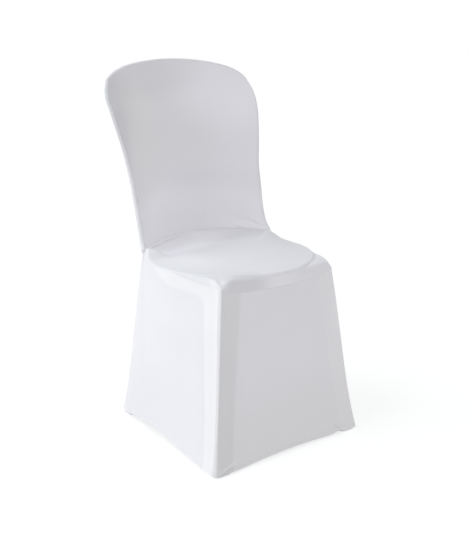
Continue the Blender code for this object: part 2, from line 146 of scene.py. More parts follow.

# Creases: soft ridges (height above 0) and troughs (below 0) along a line on the cloth. height
# and width in mm, fade: share of the line over which each end runs out, gain: a painted highlight
# (above 1) or painted shade (below 1) along the fold, multiplying the knit's colour.
Crease = namedtuple("Crease", "piece height width fade points gain", defaults=(1.0,))
CREASES = (
    Crease("seat", 4.4, 2.6, (0.05, 0.45), (
        (-187, 108.5, 450), (-157.5, 130.2, 449.8), (-109.5, 158.8, 452.6), (-74.8, 173.5, 454.2),
        (-43, 181.8, 455), (-6.5, 187.5, 457)), 1.12),
    Crease("seat", -2.0, 4.0, (0.05, 0.5), (
        (-184.8, 108.2, 450.5), (-151.8, 134.7, 446.6), (-119.9, 153, 447.4), (-94.4, 164.2, 448.4),
        (-60, 175, 450)), 0.95),
    Crease("seat", 0.9, 3.0, (0.05, 0.5), (
        (-186, 109, 449.9), (-162, 122.2, 442.4), (-130.8, 135.1, 437.8), (-108.2, 141.8, 436)), 1.06),
    Crease("seat", 0.7, 3.0, (0.3, 0.3), (
        (-163.8, -94.3, 428.8), (-163, -122, 426.5), (-160, -143, 421)), 1.03),
    Crease("seat", -0.8, 2.8, (0.05, 0.5), (
        (-188, 105, 446), (-168.4, 111.2, 442.1), (-139.1, 128.3, 436.3)), 0.94),
    Crease("back_front", -1.5, 3.4, (0.5, 0.1), (
        (145.1, 155.1, 485.2), (162.4, 140.3, 472.3), (176.3, 125.6, 459.8))),
    Crease("back_front", -1.4, 3.4, (0.4, 0.6), (
        (100, 174.2, 474.5), (113.3, 165.4, 466.3), (127.7, 156, 460.7), (150, 142, 455))),
    Crease("back_front", 1.7, 5.0, (0.4, 0.2), (
        (114.2, 169.4, 479), (146.9, 150.7, 474.4), (169.9, 131.7, 463.4), (180, 120, 455))),
    Crease("seat", 1.4, 3.8, (0.5, 0.1), (
        (110, 163, 456), (122.9, 156.1, 455.3), (149.7, 138.8, 452.2), (177.4, 118.2, 450.2))),
    Crease("skirt", 1.3, 2.4, (0.1, 0.5), (
        (-204.5, -211.5, 8.5), (-195, -213, 14.1), (-178.8, -212.3, 20.9), (-161, -210.3, 27.6),
        (-143.5, -208.8, 31.1), (-126, -208, 31.4)), 1.06),
    Crease("skirt", -1.2, 3.0, (0.2, 0.5), (
        (-200, -213.5, 5.5), (-193.6, -214.2, 8.6), (-174.8, -213.8, 14), (-151.4, -211.8, 20)), 0.96),
    Crease("skirt", 0.9, 2.0, (0.2, 0.2), ((-207, -208.5, 10.3), (-198, -212.7, 10.3)), 1.06),
    Crease("skirt", -1.4, 2.4, (0.2, 0.4), (
        (138.9, -209, 28.6), (146, -210.5, 21.8), (153.2, -212.1, 14.9)), 0.9),
    Crease("skirt", 0.9, 1.8, (0.3, 0.3), ((-210.7, 193.1, 40), (-212.6, 190.5, 22))),
)
CURVE_STEPS = 8  # parts of a crease's line between two of its points
CREASE_REACH = 20.0  # past this far from its line's box a crease is not felt

# The fold in the seat's rim beside the level corners, a trough and a ridge: height, width, from
# and to in degrees from the front, and radius. Both lie a little below the seat's top.
RIM_CREASES = ((-1.1, 3.4, 18, 74, 211), (0.5, 3.0, 18, 74, 204.0))
RIM_CREASE_FADE = (0.25, 0.12)
RIM_CREASE_DROP = 1.0

# Seams: the line, how deep and how wide the cloth rolls in there, and the gain of the painted
# shade along it (below 1), or of a painted highlight (above 1).
Seam = namedtuple("Seam", "line depth width gain")

# The turned hem: a band that stands out below a stitch line, with small puckers, in mm.
HEM_STANDS_OUT = 0.35
HEM_WIDTH = 9.0
HEM_STEP = 0.7
STITCH_WIDTH = 1.3
PUCKER_HEIGHT = 0.16
PUCKER_WIDTH = 6.0
PUCKERS = 210  # round the whole hem

# The rounding of the seat's corners: rounds, the share of a move in one round, and how far from a
# seam it starts to fade.
SOFTEN_ROUNDS = 14
SOFTEN_SHARE = 0.8
SOFTEN_HOLD = 5.0
SOFT_CORNERS = tuple(((side * 150.0, -155.0, 428.0), 30.0) for side in (-1, 1))

# The skirt's corner lines: z at the seam and the drop to the hem, then where each is at the seam
# and how far it has moved out at the hem.
CORNER_TOP, CORNER_DROP = 411, 405.5
CORNER_X, CORNER_FRONT, CORNER_REAR = (158.4, 50.1), (-161.3, -48.0), (166, 48.0)
FACE_ROUND = 9  # how far round a corner its front or rear face reaches
SIDE_FRONT_END, SIDE_REAR_START = 130, 0  # y where the side's front strips end and its rear starts
# Above the arch, the side's front strip is painted lighter: painted light.
ARCH_HEIGHT = 394  # above this the skirt's side is backed
ARCH_DIP = (26, 45, 14.0)  # how far the arch dips at the front strip, from where, and how fast
ARCH_CLIMB = (60, -30, 130)  # how far it climbs to the rear, from where, and over what length
ARCH_EDGE = 16.0

# The cloth's backed strips along the skirt's corners, where it lies over the legs: painted light and
# shade, darker on the front left and lighter on the side. The face, the strip's width in mm at the top
# and at the hem, the width of its soft edge, and its gain in red, green and blue.
BACKED_PAINTED_LIGHT = (
    ("front left", 49, 42, 9, (0.937, 0.937, 0.927)),
    ("front right", 50, 45, 8, (1.015, 1.01, 1.0)),
    ("rear", 50, 45, 6, (1.0, 1.0, 0.985)),
    ("side front", 50, 44, 5, (1.07, 1.07, 1.06)),
    ("side corner", 14, 12, 26, (1.05, 1.045, 1.045)),
    ("side rear", 40, 36, 8, (1.01, 1.01, 1.0)),
)

# The highest gain of the painted light and shade.
LIGHTEST_PAINTED_SHADING = 1.17  # there the knit gives back about all the light that falls on it

# Soft patches of painted light and shade on the knit: gain in red, green and blue, and the
# ellipsoid's centre, its reach and the width of its soft edge as a share of the reach.
ShadingPatch = namedtuple("ShadingPatch", "piece gain centre reach edge")
PAINTED_SHADING_PATCHES = (
    ShadingPatch("back_front", (1.15, 1.145, 1.145), (0, 180, 460), (300, 150, 100), 0.9),
    ShadingPatch("back_front", (1.035, 1.035, 1.04), (-150, 180, 560), (110, 120, 60), 1.2),
    ShadingPatch("back_front", (1.07, 1.07, 1.08), (130, 235, 800), (130, 140, 90), 1.2),
    ShadingPatch("back_front", (0.94, 0.925, 0.935), (-215, 205, 710), (32, 120, 200), 1.0),
    ShadingPatch("back_front", (0.92, 0.92, 0.92), (-205, 230, 790), (50, 120, 95), 1.3),
    ShadingPatch("back_front", (1.045, 1.045, 1.045), (-20, 215, 600), (200, 120, 80), 1.3),
    ShadingPatch("back_front", (1.04, 1.04, 1.04), (-20, 190, 470), (120, 70, 35), 1.2),
    ShadingPatch("back_front", (1.07, 1.07, 1.07), (-60, 165, 462), (150, 60, 32), 0.9),
    ShadingPatch("back_front", (0.97, 0.97, 0.97), (-190, 185, 560), (40, 90, 110), 1.2),
    ShadingPatch("back_rear", (0.86, 0.86, 0.86), (-215, 215, 740), (50, 60, 150), 0.8),
    ShadingPatch("back_front", (0.995, 1.0, 0.98), (-140, 240, 690), (60, 120, 170), 1.2),
    ShadingPatch("back_front", (0.95, 0.945, 0.95), (-110, 265, 845), (140, 120, 50), 1.1),
    ShadingPatch("back_front", (1.02, 1.02, 1.025), (150, 235, 640), (70, 120, 120), 1.2),
    ShadingPatch("seat", (1.06, 1.065, 1.065), (-150, 60, 436), (80, 110, 60), 1.2),
    ShadingPatch("seat", (1.16, 1.165, 1.165), (-85, 155, 449), (125, 42, 40), 1.0),
    ShadingPatch("seat", (1.09, 1.085, 1.085), (30, 188, 457), (190, 30, 30), 1.2),
    ShadingPatch("seat", (0.90, 0.895, 0.90), (-108, -170, 408), (62, 40, 34), 0.8),
    ShadingPatch("seat", (1.07, 1.075, 1.075), (-156, -150, 424), (16, 26, 24), 0.8),
    ShadingPatch("skirt", (1.055, 1.055, 1.055), (180, -213, 345), (32, 60, 110), 1.2),
    ShadingPatch("skirt", (0.965, 0.965, 0.968), (-213, 40, 40), (30, 230, 130), 1.2),
    ShadingPatch("skirt", (1.03, 1.03, 1.03), (-200, -60, 350), (40, 110, 60), 1.2),
    ShadingPatch("skirt", (0.965, 0.97, 0.955), (0, -212, 50), (230, 40, 130), 1.2),
    ShadingPatch("skirt", (0.965, 0.965, 0.96), (-185, -190, 200), (50, 60, 260), 1.4),
)

KNIT, POCKET_KNIT = "warp_knit_optic_white", "warp_knit_doubled"
WALE_SCALE = 260.0  # bands 1.2 mm apart: 2 pi / (20 x scale) metres
COURSE_SCALE = 200.0  # bands 1.6 mm apart
YARN_WANDER = 0.6
CLOUD_SCALE = 14.0  # soft clouds about 70 mm across
CLOUD_DARK = 0.985
LOOP_BUMP, LOOP_DEPTH = 0.12, 0.3 * MM

CAMERA_PLACE = (-1057.83, -1454.80, 889.79)
CAMERA_PITCH = 0.2658478  # radians below level
CAMERA_HEADING = 0.62586876  # radians to the right of straight on
CAMERA_FOCAL = 770  # pixels, in a picture PICTURE_HEIGHT pixels high
PICTURE_HEIGHT = 536
SENSOR = 36.0

FLOOR_REACH = 30.0  # metres from the middle to each side
FLOOR_GLOW = 0.64
WORLD_LIGHT, WORLD_SEEN = 0.12, 1.0  # how bright the world lights the cloth, and how it is seen
LIGHT_SPREAD = 1.2  # radians, as wide as a studio's soft boxes look from the cover
LIGHTS = (
    ("left window", (-1.0, 0.4, 0.6), 1.71, (0.94, 1.0, 1.0)),
    ("overhead", (0.0, -0.05, 1.0), 1.32, (0.94, 1.0, 1.0)),
    ("front fill", (0.15, -1.0, 0.4), 0.325, (1.0, 1.0, 1.0)),
    ("right fill", (1.0, -0.3, 0.4), 0.22, (1.0, 1.0, 1.0)),
)


def in_frame(points):
    """Points in mm from the middle of the feet, as metres from the middle of the cover's box."""
    return (np.asarray(points, float) + [0.0, FEET_Y, 0.0]) * MM


def curve_through(points, steps, closed=False):
    """Points on a smooth curve through the given ones, with steps[i] parts on stretch i.

    On each stretch the place is a cubic Hermite sum. Its tangents average the slopes of the two
    neighbouring stretches, and the knots are spaced by the square root of the distance.
    """
    p = np.asarray(points, float)
    if closed:
        p = np.vstack([p[-1:], p, p[:2]])
    else:
        p = np.vstack([2 * p[:1] - p[1:2], p, 2 * p[-1:] - p[-2:-1]])
    gap = np.sqrt(np.maximum(np.linalg.norm(np.diff(p, axis=0), axis=1), 1e-9))
    slope = np.diff(p, axis=0) / gap[:, None]
    weight = (gap[:-1] / (gap[:-1] + gap[1:]))[:, None]
    tangent = slope[:-1] * (1 - weight) + slope[1:] * weight
    parts = []
    for i, n in enumerate(steps[: len(p) - 3]):
        t = (np.arange(n) / max(n, 1))[:, None]
        parts.append(
            (1 + 2 * t) * (1 - t) ** 2 * p[i + 1]
            + t * (1 - t) ** 2 * gap[i + 1] * tangent[i]
            + t * t * (3 - 2 * t) * p[i + 2]
            - t * t * (1 - t) * gap[i + 1] * tangent[i + 1]
        )
    if not closed:
        parts.append(p[-2:-1])
    return np.vstack(parts)


def half_steps():
    """The sheet's facets between each station and the next."""
    return [s.steps * FINE for s in STATIONS[:-1]]


def index_of(station):
    """The loop index at which that station of the right half lies."""
    return sum(half_steps()[:station])


def closed_loop(value_of):
    """A closed curve through one point for each station and its mirror image."""
    half = [np.asarray(value_of(s), float) for s in STATIONS]
    points = half + [p * [-1.0, 1.0, 1.0] for p in half[-2:0:-1]]
    return curve_through(points, half_steps() + half_steps()[::-1], closed=True)


def station_values(value_of):
    """One number for each loop point, from the front middle round to the front middle again."""
    right = curve_through([[value_of(s)] for s in STATIONS], half_steps())[:, 0]
    return np.concatenate([right, right[-2:0:-1]])


def smooth_step(x):
    """3 x^2 - 2 x^3, with x kept between 0 and 1."""
    x = np.clip(x, 0, 1)
    return x * x * (3 - 2 * x)


def roll(radius, start, turn):
    """How far out and down a rounded edge goes as it turns on from its start angle.

    out = r (sin(start + turn) - sin start), down = r (cos start - cos(start + turn)).
    """
    out = radius * (np.sin(start + turn) - np.sin(start))
    down = radius * (np.cos(start) - np.cos(start + turn))
    return out, down


def skirt_rows():
    """Rows of the skirt from its upper seam to its hem.

    The cloth turns down through its roll, then runs straight to the hem, moved outwards by
    swell (1 - v) min(v / share, 1) - hollow sin(pi v^2), with v from 0 to 1 down the cloth.
    """
    top, hem = closed_loop(lambda s: s.top), closed_loop(lambda s: s.hem)
    place, width, lift = HEM_LIFT
    hem[:, 2] += lift * np.exp(-((np.linalg.norm(hem - place, axis=1) / width) ** 2))
    along = np.roll(hem, -1, 0) - np.roll(hem, 1, 0)
    outward = np.column_stack([along[:, 1], -along[:, 0], np.zeros(len(hem))])
    outward /= np.linalg.norm(outward, axis=1)[:, None]
    hollow = station_values(lambda s: s.hollow)
    swell = station_values(lambda s: s.swell)
    turning = np.radians(np.maximum(station_values(lambda s: s.skirt_roll), 0.0))
    share = np.array([0, 0.12, 0.3, 0.6, 1.0])[:, None]
    out, down = roll(SEAT_EDGE_RADIUS, math.pi / 2 - turning, turning * share)
    down = down + share * SEAM_DROP * np.cos(turning) ** 2
    rolled = top + outward * out[:, :, None] - down[:, :, None] * np.array([0.0, 0.0, 1.0])
    v = np.concatenate([np.linspace(*part)[1:] for part in SKIRT_PARTS])[:, None, None]
    out = swell[:, None] * (1 - v) * np.minimum(v / SWELL_SHARE, 1.0)
    out = out - hollow[:, None] * np.sin(math.pi * v**HOLLOW_LOW)
    return np.vstack([rolled, rolled[-1] + (hem - rolled[-1]) * v + outward * out])


def across():
    """The share across the back, from 1 at its right edge to -1: s (1 + c (1 - s^2)).

    s runs evenly, and c crowds the columns towards the edges.
    """
    s = np.linspace(1, -1, BACK_COLUMNS * FINE + 1)
    return s * (1 + EDGE_CROWDING * (1 - s**2))


def section_heights():
    """The sections of the back from bottom to top, with a few more rows at both ends."""
    sections = curve_through(SECTIONS, [SECTION_ROWS] * (len(SECTIONS) - 1))
    first = sections[0] + (sections[1] - sections[0]) * np.array([[0.3], [0.6]])
    last = sections[-2] + (sections[-1] - sections[-2]) * np.array([[0.4], [0.7]])
    return np.vstack([sections[:1], first, sections[1:-1], last, sections[-1:]])


def front_of_back():
    """Rows up the front of the back, each an arch across it.

    x = half_width s, y = centre + (edge - centre) s^2, and z drops from the centre to the edge by
    (1 - q) s^2 + q s^8, with q the squareness of the top.
    """
    s = across()
    edge_z, half_width, edge_y, centre_z, centre_y = section_heights().T[:, :, None]
    late = (1 - TOP_SQUARENESS) * s**2 + TOP_SQUARENESS * s**8
    y = centre_y + (edge_y - centre_y) * s**2
    z = centre_z + (edge_z - centre_z) * late
    return np.stack([half_width * s, y, z], axis=2)


def grid_normals(grid):
    """Unit normals of a grid: the cross product of its two central differences."""
    normals = np.cross(np.gradient(grid, axis=0), np.gradient(grid, axis=1))
    return normals / np.maximum(np.linalg.norm(normals, axis=2), 1e-9)[:, :, None]


def round_edge(grid):
    """The grid's points up its right edge, over the top and down its left edge."""
    return np.vstack([grid[:, 0], grid[-1, 1:-1], grid[::-1, -1]])


def rim_of_back(front):
    """Half rounds from the front's edge to the rear: depth d/2 (1 - cos a), rise d/2 sin a."""
    edge = round_edge(front)
    normal = round_edge(grid_normals(front))
    outward = np.cross(np.gradient(edge, axis=0), normal)
    outward /= np.linalg.norm(outward, axis=1)[:, None]
    turn = np.linspace(0, math.pi, RIM_STEPS * FINE + 1)[:, None, None]
    radius = RIM_DEPTH / 2
    return edge - radius * (1 - np.cos(turn)) * normal + radius * np.sin(turn) * outward


def rear_of_back(front):
    """The front's grid set back along its normals by 13 + 7 (1 - s^2) (1 - v^6) mm, v upward."""
    up = np.linspace(0, 1, len(front))[:, None]
    depth = RIM_DEPTH + (BACK_DEPTH - RIM_DEPTH) * (1 - across() ** 2) * (1 - up**6)
    return front - grid_normals(front) * depth[:, :, None]


def foot_of_rear(rear, rim, top):
    """Straight lines from the lowest section of the rear down to the skirt's upper seam."""
    upper = np.vstack([rim[:, 0], rear[0, 1:-1], rim[::-1, -1]])
    first = index_of(NOTCH_STATION)
    lower = top[first : first + len(upper)]
    share = np.concatenate([np.linspace(0, 0.9, 12), [0.95, 0.98, 1.0]])[:, None, None]
    return upper + (lower - upper) * share


def seat_edge(front, top):
    """The end of the seat's top: points, how far its edge has turned, and share of the back.

    From the front to the notch the edge is the seat's rim, and behind it the seam to the back.
    """
    last, notch = index_of(RIM_STATION), index_of(NOTCH_STATION)
    angle = np.radians(station_values(lambda s: s.rim))[: last + 1]
    turned = np.radians(station_values(lambda s: s.seat_roll))[: notch + 1]
    out, down = roll(SEAT_EDGE_RADIUS, 0.0, turned[: last + 1])
    radius = SEAT_RADIUS - SEAT_EDGE_RADIUS + out
    x, y = radius * np.sin(angle), SEAT_CENTRE_Y - radius * np.cos(angle)
    rim = np.column_stack([x, y, SEAT_HEIGHT - down])
    right = np.vstack([rim[:last], top[last : notch + 1]])
    seam = front[0, 1:-1]
    middle = 1 - np.abs(seam[:, 0]) / right[-1, 0]
    edge = np.vstack([right, seam, (right * [-1.0, 1.0, 1.0])[:0:-1]])
    turned = np.concatenate([turned, 0 * middle, turned[:0:-1]])
    behind = np.concatenate([0 * right[:, 0] - 1, middle, 0 * right[1:, 0] - 1])
    return edge, turned, behind


def seat_rings(front, top):
    """Rings from the middle of the seat to its edge, closed all round.

    A ring is centre + share (edge - centre). In front its edge rolls down by the roll's formula,
    at the sides it first climbs along 3 c^2 - 2 c^3, and at the back it climbs along c^2.
    """
    edge, turned, behind = seat_edge(front, top)
    centre = np.array([0.0, SEAT_CENTRE_Y, SEAT_HEIGHT])
    reach = np.linalg.norm(edge[:, :2] - centre[:2], axis=1)
    height = edge[:, 2] - SEAT_HEIGHT + roll(SEAT_EDGE_RADIUS, 0.0, turned)[1]
    at_back = behind >= 0
    rise = np.where(at_back, BACK_RISE[0] + (BACK_RISE[1] - BACK_RISE[0]) * behind, SIDE_RISE)
    flat = np.linspace(0, SEAT_FLAT, 30)
    rings = []
    for share, step in [(f, -1.0) for f in flat] + [(None, k) for k in np.linspace(0, 1, 23)]:
        turn = turned * max(step, 0.0)
        out = roll(SEAT_EDGE_RADIUS, turn, turned - turn)[0]
        level = roll(SEAT_EDGE_RADIUS, 0.0, turn)[1]
        rolled = 1 - out / reach if share is None else share
        further = SEAT_FLAT + (1 - SEAT_FLAT) * (BACK_STEP + (1 - BACK_STEP) * step)
        plain = further if share is None else share
        ring_share = np.where(at_back, plain, rolled)
        climbed = np.clip((ring_share - 1 + rise) / (rise - SIDE_LEVEL * ~at_back), 0, 1)
        climbed = np.where(at_back, climbed**2, smooth_step(climbed))
        ring = centre + (edge - centre) * np.reshape(ring_share, (-1, 1))
        ring[:, 2] = SEAT_HEIGHT + height * climbed - level
        rings.append(ring)
    return np.array(rings)


def apron_rows(edge, top):
    """The drop from the seat's rim to the skirt's upper seam, between the two rim stations.

    Each line is a cubic Bezier. Over a front corner it leaves the rim level and turns down at the
    seam, and elsewhere it is straight.
    """
    last = index_of(RIM_STATION)
    order = np.arange(-last, last + 1)
    shelf = station_values(lambda s: s.shelf)[order][:, None]
    rim, seam = edge[order], top[order]
    drop = seam - rim
    corner = seam.copy()
    corner[:, 2] = np.maximum(rim[:, 2] + CORNER_BULGE, seam[:, 2])
    first = (rim + drop / 3) * (1 - shelf) + (rim + drop * SHELF_PULL) * shelf
    second = (rim + drop * 2 / 3) * (1 - shelf) + corner * shelf
    t = np.concatenate([np.linspace(0, 0.9, 15), [0.93, 0.96, 0.98, 1.0]])[:, None, None]
    return (
        (1 - t) ** 3 * rim + 3 * t * (1 - t) ** 2 * first
        + 3 * t * t * (1 - t) * second + t**3 * seam
    )


def pocket_rings(side, end):
    """Rings of one foot pocket, from its open top down its walls to the middle of its sole.

    A ring is a rounded rectangle, centre + r (cos a, sin a) at each corner. Its outer walls lean
    with the skirt: each ring is set as far out as the skirt is at that height, less a clearance.
    """
    rows = skirt_rows()
    side_line, end_line = (rows[::-1, index_of(k)] for k in SIDE_AND_END[end])
    turn = np.linspace(0, math.pi / 2, 8)[1:]
    wall = [(h, 0.0) for h in np.linspace(POCKET_HEIGHT, POCKET_SOLE_ROUND, 12)]
    foot = [
        (POCKET_SOLE_ROUND * (1 - math.sin(a)), POCKET_SOLE_ROUND * (1 - math.cos(a)))
        for a in turn
    ]
    sole = [(0.0, inset) for inset in (6.0, 9.0, 12.0, 15.0)]
    corners = np.radians(np.linspace(0, 90, 10))
    rings = []
    for height, inset in wall + foot + sole:
        r = POCKET_CORNER - inset
        points = []
        for k, (x, y) in enumerate((
            (-POCKET_CORNER, -POCKET_CORNER),
            (-POCKET_WIDTH + POCKET_CORNER, -POCKET_CORNER),
            (-POCKET_WIDTH + POCKET_CORNER, -POCKET_DEPTH + POCKET_CORNER),
            (-POCKET_CORNER, -POCKET_DEPTH + POCKET_CORNER),
        )):
            angle = corners + k * math.pi / 2
            points.append(np.column_stack([x + r * np.cos(angle), y + r * np.sin(angle)]))
        points = np.vstack(points)
        points = np.vstack([points, points[:1]])
        out_x = abs(np.interp(height, side_line[:, 2], side_line[:, 0])) - POCKET_CLEARANCE
        out_y = abs(np.interp(height, end_line[:, 2], end_line[:, 1])) - POCKET_CLEARANCE
        x, y = side * (out_x + points[:, 0]), end * (out_y + points[:, 1])
        rings.append(np.column_stack([x, y, np.full(len(x), height)]))
    middle = rings[-1][:-1].mean(0)
    rings.append(np.tile(middle, (len(rings[-1]), 1)))
    return np.array(rings)


def distance_to(points, line):
    """The distance from each point to a line of points, and the share of its length there."""
    a, b = line[:-1], line[1:]
    ab = b - a
    length = np.linalg.norm(ab, axis=1)
    start = np.concatenate([[0.0], length.cumsum()[:-1]])
    near, share = np.empty(len(points)), np.empty(len(points))
    for k in range(0, len(points), BATCH):
        ap = points[k : k + BATCH, None] - a
        t = np.clip((ap * ab).sum(2) / np.maximum(length**2, 1e-12), 0, 1)
        d = np.linalg.norm(ap - ab * t[:, :, None], axis=2)
        best = d.argmin(1)
        row = np.arange(len(best))
        near[k : k + BATCH] = d[row, best]
        share[k : k + BATCH] = (start[best] + t[row, best] * length[best]) / length.sum()
    return near, share


def rim_line(start, end, radius):
    """Points on a level circle about the seat's centre, between two angles from the front."""
    angle = np.radians(np.linspace(start, end, 12))
    x, y = radius * np.sin(angle), SEAT_CENTRE_Y - radius * np.cos(angle)
    return np.column_stack([x, y, np.full(len(x), SEAT_HEIGHT - RIM_CREASE_DROP)])


def crease_relief(piece, points):
    """The height of the listed creases of one piece at each point."""
    relief = np.zeros(len(points))
    rims = [
        Crease("seat", height, width, RIM_CREASE_FADE, rim_line(side * start, side * end, radius))
        for side in (-1, 1)
        for height, width, start, end, radius in RIM_CREASES
    ]
    for crease in (*CREASES, *rims):
        if crease.piece == piece:
            relief += crease.height * crease_share(crease, points)
    return relief


def crease_share(crease, points):
    """How strong a crease is at each point, from 0 to 1: exp(-(d / width)^2), faded at its ends."""
    share = np.zeros(len(points))
    line = curve_through(crease.points, [CURVE_STEPS] * (len(crease.points) - 1))
    low, high = line.min(0) - CREASE_REACH, line.max(0) + CREASE_REACH
    near = np.flatnonzero(((points > low) & (points < high)).all(1))
    if len(near):
        d, t = distance_to(points[near], line)
        ends = np.clip(t / crease.fade[0], 0, 1) * np.clip((1 - t) / crease.fade[1], 0, 1)
        share[near] = smooth_step(ends) * np.exp(-((d / crease.width) ** 2))
    return share


def seam_share(points, seam):
    """How near a seam each point is, from 0 to 1: exp(-(d / width)^2)."""
    return np.exp(-((distance_to(points, seam.line)[0] / seam.width) ** 2))


def painted_shading_at(piece, points, seams):
    """The painted light and shade: how the knit's colour is multiplied at each point, red, green and
    blue.

    Each patch has its gain inside the ellipsoid (x / a)^2 + (y / b)^2 + (z / c)^2 = 1, blended to
    1 over its soft edge. Gains multiply where patches overlap.
    """
    painted_shading = np.ones((len(points), 3))
    for patch in PAINTED_SHADING_PATCHES:
        if patch.piece != piece:
            continue
        r = (((points - patch.centre) / patch.reach) ** 2).sum(1) ** 0.5
        mask = smooth_step((1 + patch.edge / 2 - r) / patch.edge)
        painted_shading *= 1 + mask[:, None] * (np.array(patch.gain) - 1)
    for crease in CREASES:
        if crease.piece == piece and crease.gain != 1:
            painted_shading *= 1 + (crease.gain - 1) * crease_share(crease, points)[:, None]
    if piece == "skirt":
        for gain, mask in backed(points):
            painted_shading *= 1 + mask[:, None] * (np.array(gain) - 1)
    for seam in seams:
        painted_shading *= 1 + (seam.gain - 1) * seam_share(points, seam)[:, None]
    return np.minimum(painted_shading, LIGHTEST_PAINTED_SHADING)


def backed(points):
    """Painted light and shade: gains, each with its mask, where the skirt lies on what it is drawn
    over.

    A corner line runs straight from the upper seam to the hem. The cloth is backed up to a width
    from that line, on both faces of the corner, and on the sides above an arch under the seam.
    """
    x, y, z = np.abs(points[:, 0]), points[:, 1], points[:, 2]
    down = (CORNER_TOP - z) / CORNER_DROP
    corner_x, front, rear = (at + out * down for at, out in (CORNER_X, CORNER_FRONT, CORNER_REAR))
    on_front, on_rear = y < front + FACE_ROUND, y > rear - FACE_ROUND
    on_side = ~on_front & ~on_rear
    dip, dip_start, dip_length = ARCH_DIP
    climb, climb_start, climb_length = ARCH_CLIMB
    arch = ARCH_HEIGHT - dip * np.exp(-np.clip(y - front - dip_start, 0, None) / dip_length)
    arch += climb * smooth_step((y - climb_start) / climb_length)
    faces = {
        "front left": (on_front & (points[:, 0] < 0), corner_x - x),
        "front right": (on_front & (points[:, 0] >= 0), corner_x - x),
        "rear": (on_rear, corner_x - x),
        "side front": (on_side & (y < SIDE_FRONT_END), y - front),
        "side corner": (on_side & (y < SIDE_FRONT_END), y - front),
        "side rear": (on_side & (y >= SIDE_REAR_START), rear - y),
    }
    result = []
    for name, top, hem, soft, gain in BACKED_PAINTED_LIGHT:
        here, away = faces[name]
        wide = top + (hem - top) * np.clip(down, 0, 1)
        mask = smooth_step((wide - away) / soft + 0.5)
        if name == "side front":
            mask = np.maximum(mask, smooth_step((z - arch) / ARCH_EDGE + 0.5))
        result.append((gain, here * mask))
    return result


def soften(mesh, place, spots, seams):
    """Rounds the cloth near some spots: in each round a vertex moves towards its neighbours' mean.

    The share of the move is (1 - d / reach), with d the distance to the spot, and it fades out
    before a seam, which stays where it is.
    """
    shares = [1 - np.linalg.norm(place - spot, axis=1) / reach for spot, reach in spots]
    share = np.clip(np.max(shares, 0), 0, 1)
    near = np.flatnonzero(share > 0)
    for seam in seams:
        share[near] *= np.clip(distance_to(place[near], seam.line)[0] / SOFTEN_HOLD, 0, 1)
    edges = np.empty(len(mesh.edges) * 2, int)
    mesh.edges.foreach_get("vertices", edges)
    edges = edges.reshape(-1, 2)
    edges = edges[(share[edges] > 0).any(1)]
    count = np.maximum(np.bincount(edges.ravel(), minlength=len(place)), 1)[:, None]
    for _ in range(SOFTEN_ROUNDS):
        total = np.zeros_like(place)
        np.add.at(total, edges[:, 0], place[edges[:, 1]])
        np.add.at(total, edges[:, 1], place[edges[:, 0]])
        place = place + share[:, None] * SOFTEN_SHARE * (total / count - place)
    return place


def hem_relief(points, hem):
    """The turned hem at distance d from its edge: a band, its stitch line and small puckers.

    The band is h / (1 + exp((d - w) / step)), the line is sunk by h exp(-((d - w) / width)^2) half
    a millimetre above it, and the puckers are a sine along the hem that fades away from the band.
    """
    d, t = distance_to(points, hem)
    band = HEM_STANDS_OUT / (1 + np.exp((d - HEM_WIDTH) / HEM_STEP))
    stitch = -HEM_STANDS_OUT * np.exp(-(((d - HEM_WIDTH - 0.5) / STITCH_WIDTH) ** 2))
    fade = np.exp(-(((d - HEM_WIDTH + 1) / PUCKER_WIDTH) ** 2))
    return band + stitch + PUCKER_HEIGHT * np.sin(2 * math.pi * t * PUCKERS) * fade


def give_thickness(piece):
    """Adds the cloth's thickness inwards, and keeps its cut edges crisp."""
    wall = piece.modifiers.new("cloth thickness", "SOLIDIFY")
    wall.thickness = bpy.context.scene.cover_sizes.cloth_thickness
    wall.offset = -1.0
    thin = piece.data
    solid = piece.evaluated_get(bpy.context.evaluated_depsgraph_get())
    thick = bpy.data.meshes.new_from_object(solid)
    thick.set_sharp_from_angle(angle=math.radians(55))
    piece.modifiers.clear()
    piece.data = thick
    bpy.data.meshes.remove(thin)
    thick.name = piece.name


def welded_mesh(name, grids):
    """Grids of points in mm as one mesh, with faces outwards and a UV map in metres.

    On each grid u is the mean length along a row and v the length down its column.
    """
    points, faces, uvs, count = [], [], [], 0
    for grid in grids:
        rows, columns = grid.shape[:2]
        index = np.arange(rows * columns).reshape(rows, columns) + count
        quads = np.stack([index[:-1, :-1], index[:-1, 1:], index[1:, 1:], index[1:, :-1]], axis=2)
        u = np.linalg.norm(np.diff(grid, axis=1), axis=2).cumsum(1)
        v = np.linalg.norm(np.diff(grid, axis=0), axis=2).cumsum(0)
        u = np.hstack([np.zeros((rows, 1)), u]).mean(0) * np.ones((rows, 1))
        v = np.vstack([np.zeros((1, columns)), v])
        points.append(grid.reshape(-1, 3))
        faces.append(quads.reshape(-1, 4))
        uvs.append(np.stack([u, v], axis=2).reshape(-1, 2) * MM)
        count += rows * columns
    points, faces, uvs = np.vstack(points), np.vstack(faces), np.vstack(uvs)
    mesh = bpy.data.meshes.new(name)
    mesh.from_pydata(points.tolist(), [], faces.tolist())
    layer = mesh.uv_layers.new(name="cloth")
    layer.data.foreach_set("uv", uvs[faces.ravel()].ravel())
    welded = bmesh.new()
    welded.from_mesh(mesh)
    bmesh.ops.remove_doubles(welded, verts=welded.verts, dist=WELD)
    bmesh.ops.recalc_face_normals(welded, faces=welded.faces)
    outermost = max(welded.verts, key=lambda v: v.co.x)
    if outermost.normal.x < 0:
        bmesh.ops.reverse_faces(welded, faces=welded.faces)
    welded.to_mesh(mesh)
    welded.free()
    return mesh


